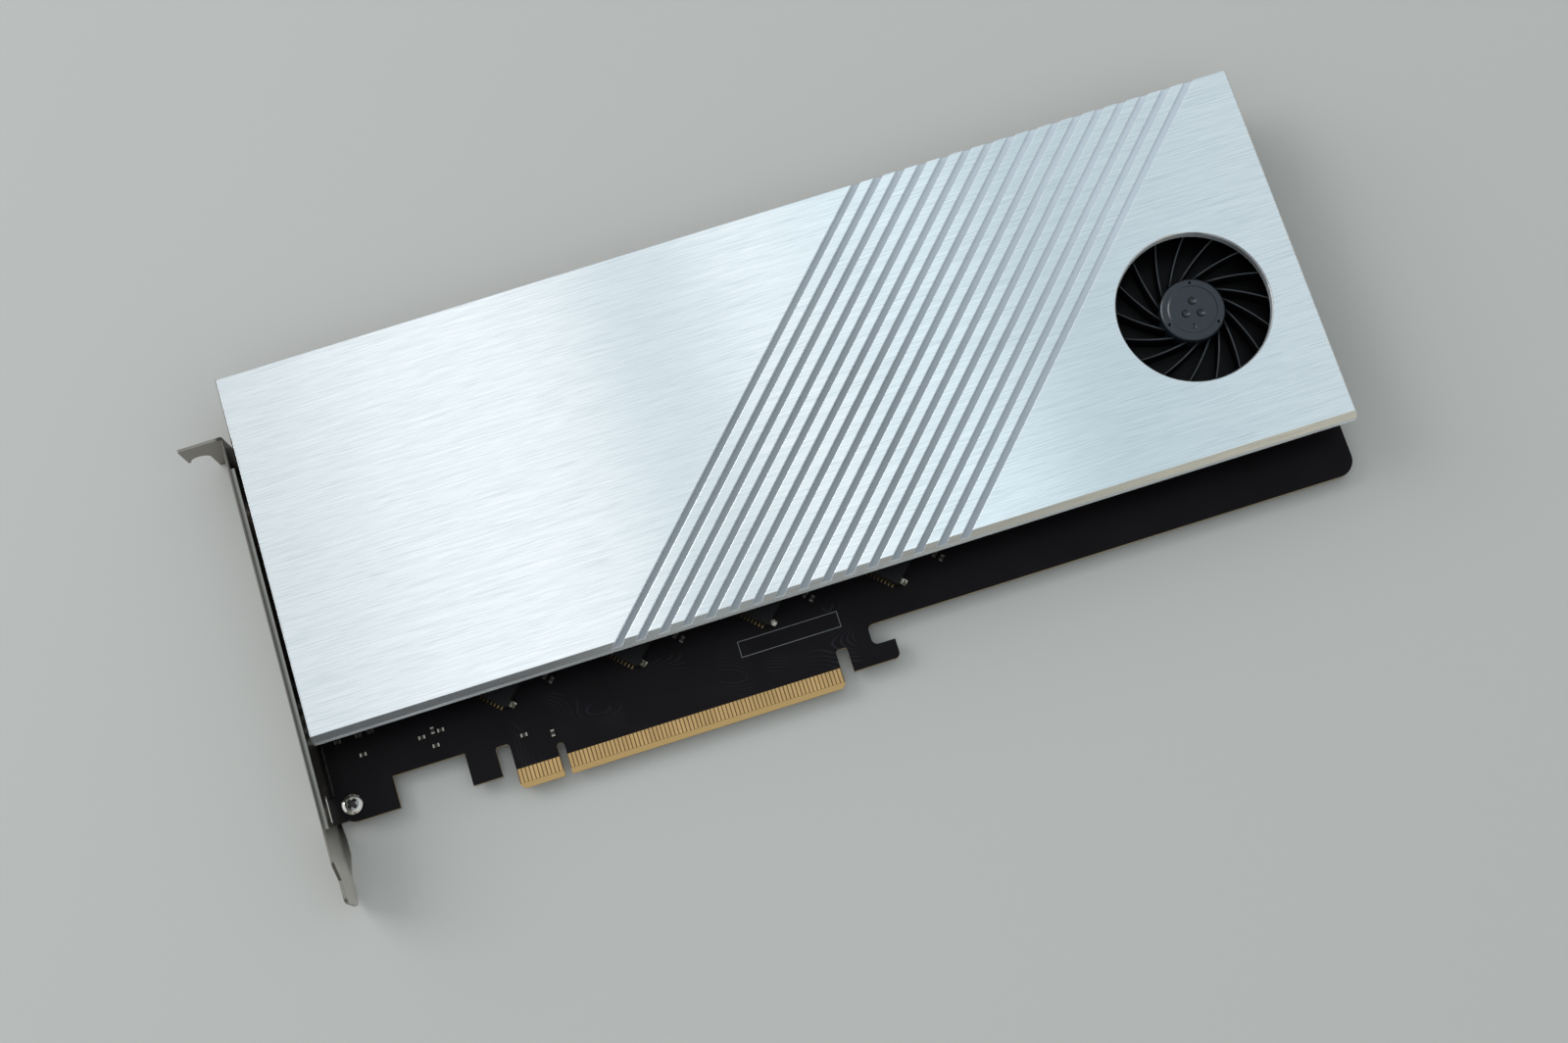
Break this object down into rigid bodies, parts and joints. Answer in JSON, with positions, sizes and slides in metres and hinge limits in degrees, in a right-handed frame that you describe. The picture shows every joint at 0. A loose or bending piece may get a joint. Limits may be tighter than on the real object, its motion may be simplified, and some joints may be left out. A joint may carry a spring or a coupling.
{
  "type": "nvme adapter card",
  "caption": "Long expansion card with an edge connector and slanted drive sockets under a grooved metal cover with a flat blower fan, on a slot bracket.",
  "frame": {"origin": "middle of the key notch on the lower edge of the edge connector, on the component face of the board", "axes": "+X along the connector towards the fan end, +Y up the board away from the connector, +Z out of the component face"},
  "size_m": [0.2831, 0.1363, 0.0184],
  "materials": {
    "board_mask": "black solder mask, satin",
    "contact_gold": "gold plated",
    "socket_black": "moulded",
    "socket_leg_metal": "plated",
    "thermal_grey": "soft strip",
    "post_brass": "turned",
    "screw_steel": "plated",
    "cover_aluminium": "brushed and clear anodised",
    "fan_black": "moulded",
    "fan_charcoal": "moulded, fine grain",
    "shaft_steel": "ground",
    "bearing_brass": "sintered",
    "coil_copper": "lacquered windings",
    "magnet_dark": "bonded magnet",
    "motor_board_green": "solder mask",
    "header_white": "moulded",
    "pin_metal": "plated",
    "bracket_steel": "nickel plated sheet",
    "fix_screw_chrome": "bright nickel",
    "switch_black": "moulded",
    "switch_white": "moulded",
    "lamp_clear": "milky moulding",
    "inductor_grey": "pressed powder",
    "can_metal": "drawn can",
    "chip_black": "moulded",
    "ceramic_tan": "fired ceramic",
    "cap_tin": "tinned"
  },
  "bodies": {
    "card": {"circuit_board": "board_mask", "contacts_front": "contact_gold", "contacts_back": "contact_gold", "m2_socket_1": "socket_black", "m2_socket_2": "socket_black", "m2_socket_3": "socket_black", "m2_socket_4": "socket_black", "socket_metal_1": "socket_leg_metal", "socket_metal_2": "socket_leg_metal", "socket_metal_3": "socket_leg_metal", "socket_metal_4": "socket_leg_metal", "thermal_pad_1": "thermal_grey", "thermal_pad_2": "thermal_grey", "thermal_pad_3": "thermal_grey", "thermal_pad_4": "thermal_grey", "cover_posts": "post_brass", "drive_posts": "post_brass", "drive_screws": "screw_steel", "heatsink_cover": "cover_aluminium", "cover_screws": "screw_steel", "fan_case": "fan_black", "fan_screws": "screw_steel", "fan_bearing": "bearing_brass", "fan_stator": "coil_copper", "fan_motor_board": "motor_board_green", "fan_header": "header_white", "fan_header_pins": "pin_metal", "bracket": "bracket_steel", "bracket_screws": "fix_screw_chrome", "fan_switch_body": "switch_black", "status_lamps": "lamp_clear", "power_inductors": "inductor_grey", "power_capacitors": "can_metal", "voltage_regulators": "chip_black", "clock_chips": "chip_black", "small_parts": "ceramic_tan", "small_part_caps": "cap_tin"},
    "impeller": {"fan_impeller": "fan_charcoal", "fan_shaft": "shaft_steel", "fan_magnet_ring": "magnet_dark"},
    "switch_slider": {"fan_switch_slider": "switch_white"}
  },
  "joints": [
    {"name": "fan_spin", "type": "hinge", "parent": "card", "child": "impeller", "pos_m": [0.1837, 0.0632, 0], "axis": [0, 0, 1], "continuous": true},
    {"name": "switch_slide", "type": "slide", "parent": "card", "child": "switch_slider", "axis": [0, 1, 0], "range_m": [0, 0.0015]}
  ]
}
